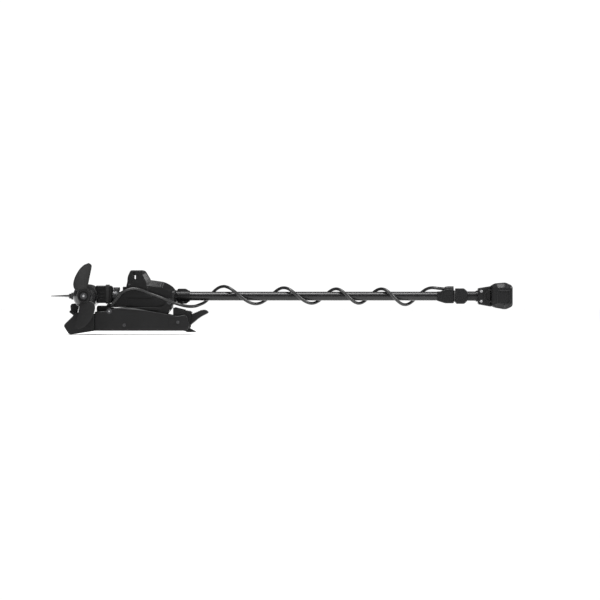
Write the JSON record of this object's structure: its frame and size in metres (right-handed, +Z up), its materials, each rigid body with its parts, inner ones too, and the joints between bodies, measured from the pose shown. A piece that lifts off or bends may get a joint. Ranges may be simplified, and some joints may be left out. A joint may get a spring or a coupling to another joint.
{
  "type": "bow-mount electric trolling motor",
  "caption": "Bow-mount electric trolling motor, stowed: folding deck mount, steering housing, long shaft with coiled cable, motor pod with skeg and propeller, control head.",
  "frame": {"origin": "centre of the deck face under the base plate", "axes": "+X along the shaft towards the control head, +Y away from the side the cable runs on, +Z up from the deck"},
  "size_m": [1.657, 0.4074, 0.2554],
  "materials": {
    "black_plastic": "moulded satin black",
    "dark_paint": "satin powder coat",
    "arm_paint": "satin powder coat",
    "shaft_composite": "satin composite tube",
    "pod_paint": "satin paint",
    "prop_plastic": "glass-filled nylon",
    "steel": "stainless",
    "aluminium": "bead blasted",
    "rubber": "moulded rubber",
    "screen": "gloss black window",
    "brass": "machined",
    "copper": "wound core",
    "board": "circuit board"
  },
  "bodies": {
    "mount": {"base_plate": "dark_paint", "rail_left": "dark_paint", "rail_right": "dark_paint", "ramp_left": "black_plastic", "ramp_right": "black_plastic", "front_beam": "dark_paint", "rest_saddle": "rubber", "neck_cradle": "black_plastic", "rear_cover": "black_plastic", "display_panel": "screen", "pedal_pin": "steel", "pedal_spring": "steel", "latch_pin": "steel", "rear_foot": "black_plastic", "power_gland": "rubber", "rail_screws": "steel", "deck_washers": "rubber", "arm_pins": "steel", "link_brackets": "dark_paint"},
    "arm": {"arm_left": "arm_paint", "arm_right": "arm_paint", "arm_crossbar": "arm_paint", "housing_pins": "steel"},
    "tie_link": {"tie_link": "arm_paint"},
    "housing": {"housing_near": "black_plastic", "housing_far": "black_plastic", "end_ring": "black_plastic", "steer_motor": "aluminium", "controller_board": "board", "sleeve_bearings": "brass", "housing_screws": "steel", "cable_boot": "rubber", "cord_lower": "rubber"},
    "sleeve": {"drive_sleeve": "aluminium", "drive_gear": "brass", "depth_collar": "aluminium", "cord_coil": "rubber"},
    "pinion": {"pinion": "brass"},
    "knob": {"collar_knob": "black_plastic"},
    "shaft": {"shaft_tube": "shaft_composite", "pod_neck": "black_plastic", "neck_strap": "rubber", "transducer": "black_plastic", "pod_tube": "pod_paint", "nose_cone": "pod_paint", "tail_cone": "pod_paint", "skeg": "pod_paint", "stator": "copper", "pod_bearings": "steel", "cable_clamp": "black_plastic", "connector": "black_plastic", "head_neck": "shaft_composite", "head_bracket": "dark_paint", "head_screws": "steel", "head_near": "black_plastic", "head_far": "black_plastic"},
    "propeller": {"rotor": "copper", "propeller": "prop_plastic", "prop_nut": "steel"},
    "pedal": {"pedal": "arm_paint"},
    "latch": {"latch_hook": "arm_paint"},
    "button": {"power_button": "steel"}
  },
  "joints": [
    {"name": "deploy", "type": "hinge", "parent": "mount", "child": "arm", "pos_m": [-0.114, 0, 0.07], "axis": [0, -1, 0], "range_deg": [0, 145]},
    {"name": "housing_tilt", "type": "hinge", "parent": "arm", "child": "housing", "pos_m": [0.1, 0, 0.104], "axis": [0, -1, 0], "range_deg": [-56, 0.5]},
    {"name": "tie_swing", "type": "hinge", "parent": "mount", "child": "tie_link", "pos_m": [-0.131, 0, 0.053], "axis": [0, -1, 0], "range_deg": [-0.5, 159]},
    {"name": "steer", "type": "hinge", "parent": "housing", "child": "sleeve", "pos_m": [0, 0, 0.124], "axis": [1, 0, 0], "range_deg": [-7.5, 7.5]},
    {"name": "pinion_spin", "type": "hinge", "parent": "housing", "child": "pinion", "pos_m": [0, 0, 0.166], "axis": [1, 0, 0], "range_deg": [-19.5, 19.5]},
    {"name": "knob_turn", "type": "hinge", "parent": "sleeve", "child": "knob", "pos_m": [0.147, 0, 0.124], "axis": [0, 1, 0], "range_deg": [0, 270]},
    {"name": "depth", "type": "slide", "parent": "sleeve", "child": "shaft", "axis": [1, 0, 0], "range_m": [-0.6, 0], "deforming": ["cord_coil", "cord_lower"]},
    {"name": "propeller_spin", "type": "hinge", "parent": "shaft", "child": "propeller", "pos_m": [-0.199, 0, 0.124], "axis": [0, 1, 0], "continuous": true},
    {"name": "pedal_press", "type": "hinge", "parent": "mount", "child": "pedal", "pos_m": [0.157, 0, 0.046], "axis": [0, 1, 0], "range_deg": [0, 18], "stiffness_Nm_per_rad": 6, "springref_deg": -14.32, "deforming": ["pedal_spring"]},
    {"name": "latch_swing", "type": "hinge", "parent": "mount", "child": "latch", "pos_m": [0.103, 0, 0.029], "axis": [0, 1, 0], "range_deg": [-0.5, 15]},
    {"name": "button_press", "type": "slide", "parent": "mount", "child": "button", "axis": [-0.239, 0, -0.971], "range_m": [0, 0.001], "stiffness_N_per_m": 800, "springref_m": -0.001}
  ],
  "couplings": [
    {"joint": "housing_tilt", "follows": "deploy", "ratio": -0.37931},
    {"joint": "tie_swing", "follows": "deploy", "ratio": 1.09},
    {"joint": "pinion_spin", "follows": "steer", "ratio": -2.5},
    {"joint": "latch_swing", "follows": "pedal_press", "ratio": 0.8}
  ]
}
